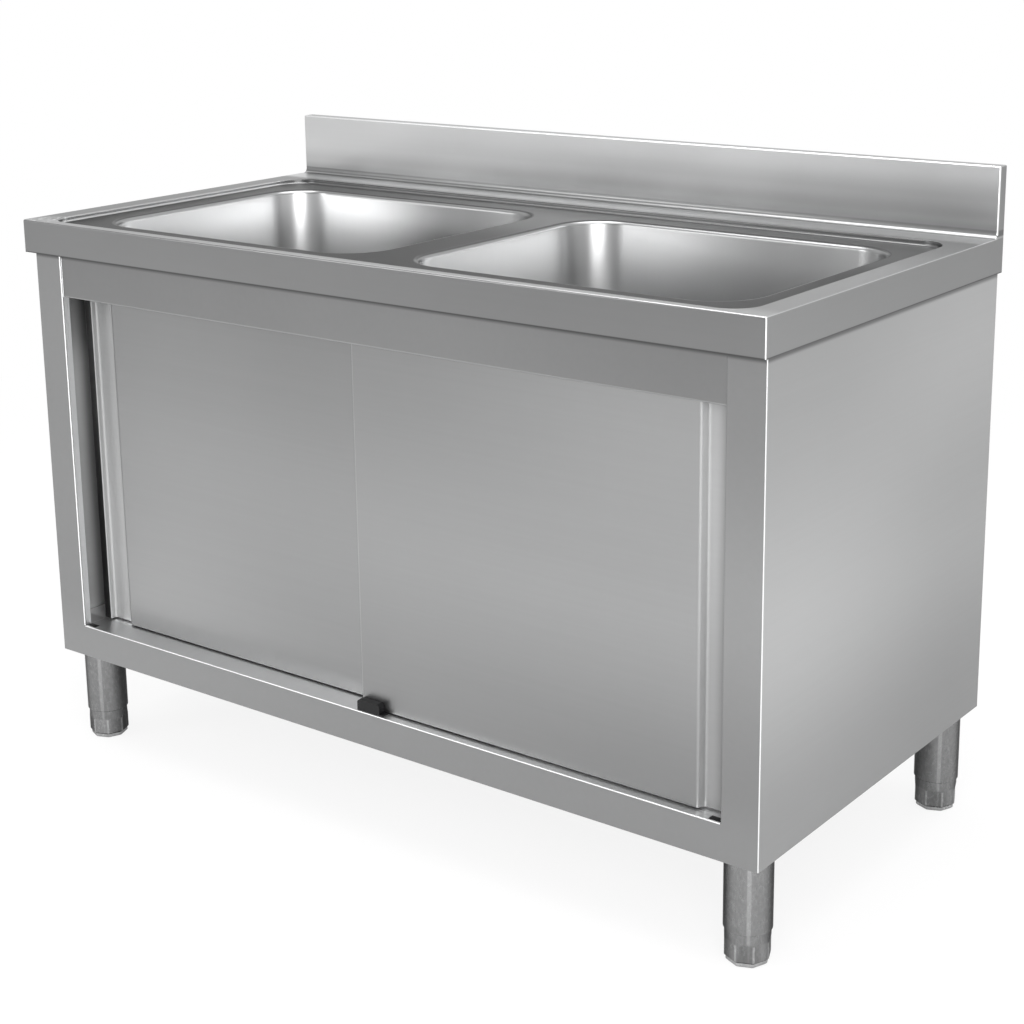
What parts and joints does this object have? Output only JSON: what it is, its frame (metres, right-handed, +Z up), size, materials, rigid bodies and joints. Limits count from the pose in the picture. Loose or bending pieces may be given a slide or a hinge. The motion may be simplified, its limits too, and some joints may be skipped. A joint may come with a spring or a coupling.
{
  "type": "kitchen sink unit",
  "caption": "Free-standing stainless sink unit with two bowls, a splashback, a cabinet with sliding doors and adjustable feet.",
  "frame": {"origin": "on the floor, midway between the ends and between the front and the back", "axes": "+X towards the viewer's right along the worktop, +Y towards the back, +Z up"},
  "size_m": [1.3, 0.65, 0.95],
  "materials": {
    "worktop_steel": "fine brushed stainless steel",
    "bowl_steel": "pressed stainless steel, softly brushed",
    "panel_steel": "satin stainless sheet",
    "inner_steel": "plain stainless sheet",
    "door_steel": "satin stainless sheet",
    "door_back_steel": "plain stainless sheet",
    "honeycomb_board": "brown board",
    "drain_steel": "polished stainless steel",
    "drain_plastic": "white moulded plastic",
    "seal_rubber": "black rubber",
    "track_aluminium": "plain extruded aluminium",
    "stop_rubber": "black rubber",
    "guide_plastic": "black moulded plastic",
    "roller_plastic": "off-white nylon",
    "zinc_steel": "zinc plated steel",
    "leg_steel": "satin stainless tube",
    "insert_plastic": "black moulded plastic",
    "foot_plastic": "grey metallic plastic"
  },
  "bodies": {
    "cabinet": {"worktop": "worktop_steel", "left_bowl": "bowl_steel", "right_bowl": "bowl_steel", "left_drain_body": "drain_steel", "left_strainer_plate": "drain_steel", "left_drain_gasket": "seal_rubber", "left_drain_locknut": "drain_plastic", "left_drain_tailpiece": "drain_plastic", "right_drain_body": "drain_steel", "right_strainer_plate": "drain_steel", "right_drain_gasket": "seal_rubber", "right_drain_locknut": "drain_plastic", "right_drain_tailpiece": "drain_plastic", "deck_stiffeners": "inner_steel", "left_side_panel": "panel_steel", "right_side_panel": "panel_steel", "back_panel": "inner_steel", "bottom_shelf": "panel_steel", "shelf_stiffener": "inner_steel", "top_rail": "panel_steel", "upper_track": "track_aluminium", "track_end_stops": "stop_rubber", "door_guide": "guide_plastic", "cabinet_screws": "zinc_steel", "front_left_corner_bracket": "inner_steel", "front_left_leg_tube": "leg_steel", "front_left_leg_insert": "insert_plastic", "front_right_corner_bracket": "inner_steel", "front_right_leg_tube": "leg_steel", "front_right_leg_insert": "insert_plastic", "back_left_corner_bracket": "inner_steel", "back_left_leg_tube": "leg_steel", "back_left_leg_insert": "insert_plastic", "back_right_corner_bracket": "inner_steel", "back_right_leg_tube": "leg_steel", "back_right_leg_insert": "insert_plastic", "leg_bolts": "zinc_steel"},
    "left_door": {"left_door_outer_skin": "door_steel", "left_door_inner_skin": "door_back_steel", "left_door_core": "honeycomb_board", "left_door_hangers": "zinc_steel", "left_door_hanger_screws": "zinc_steel"},
    "right_door": {"right_door_outer_skin": "door_steel", "right_door_inner_skin": "door_back_steel", "right_door_core": "honeycomb_board", "right_door_hangers": "zinc_steel", "right_door_hanger_screws": "zinc_steel"},
    "left_door_outer_roller": {"left_door_outer_rollers": "roller_plastic", "left_door_outer_axle": "zinc_steel"},
    "left_door_inner_roller": {"left_door_inner_rollers": "roller_plastic", "left_door_inner_axle": "zinc_steel"},
    "right_door_outer_roller": {"right_door_outer_rollers": "roller_plastic", "right_door_outer_axle": "zinc_steel"},
    "right_door_inner_roller": {"right_door_inner_rollers": "roller_plastic", "right_door_inner_axle": "zinc_steel"},
    "front_left_foot_body": {"front_left_foot": "foot_plastic"},
    "front_right_foot_body": {"front_right_foot": "foot_plastic"},
    "back_left_foot_body": {"back_left_foot": "foot_plastic"},
    "back_right_foot_body": {"back_right_foot": "foot_plastic"}
  },
  "joints": [
    {"name": "left_door_slide", "type": "slide", "parent": "cabinet", "child": "left_door", "axis": [1, 0, 0], "range_m": [-0.017, 0.575]},
    {"name": "right_door_slide", "type": "slide", "parent": "cabinet", "child": "right_door", "axis": [-1, 0, 0], "range_m": [0, 0.592]},
    {"name": "left_door_outer_roller_spin", "type": "hinge", "parent": "left_door", "child": "left_door_outer_roller", "pos_m": [-0.549, -0.262, 0.7733], "axis": [0, 1, 0], "range_deg": [-120, 3720]},
    {"name": "left_door_inner_roller_spin", "type": "hinge", "parent": "left_door", "child": "left_door_inner_roller", "pos_m": [-0.009, -0.262, 0.7733], "axis": [0, 1, 0], "range_deg": [-120, 3720]},
    {"name": "right_door_outer_roller_spin", "type": "hinge", "parent": "right_door", "child": "right_door_outer_roller", "pos_m": [0.566, -0.288, 0.7733], "axis": [0, -1, 0], "range_deg": [-10, 3800]},
    {"name": "right_door_inner_roller_spin", "type": "hinge", "parent": "right_door", "child": "right_door_inner_roller", "pos_m": [0.026, -0.288, 0.7733], "axis": [0, -1, 0], "range_deg": [-10, 3800]},
    {"name": "front_left_foot_screw", "type": "slide", "parent": "cabinet", "child": "front_left_foot_body", "axis": [0, 0, -1], "range_m": [0, 0.03]},
    {"name": "front_right_foot_screw", "type": "slide", "parent": "cabinet", "child": "front_right_foot_body", "axis": [0, 0, -1], "range_m": [0, 0.03]},
    {"name": "back_left_foot_screw", "type": "slide", "parent": "cabinet", "child": "back_left_foot_body", "axis": [0, 0, -1], "range_m": [0, 0.03]},
    {"name": "back_right_foot_screw", "type": "slide", "parent": "cabinet", "child": "back_right_foot_body", "axis": [0, 0, -1], "range_m": [0, 0.03]}
  ],
  "couplings": [
    {"joint": "left_door_outer_roller_spin", "follows": "left_door_slide", "rad_per_m": 111.11},
    {"joint": "left_door_inner_roller_spin", "follows": "left_door_slide", "rad_per_m": 111.11},
    {"joint": "right_door_outer_roller_spin", "follows": "right_door_slide", "rad_per_m": 111.11},
    {"joint": "right_door_inner_roller_spin", "follows": "right_door_slide", "rad_per_m": 111.11}
  ]
}
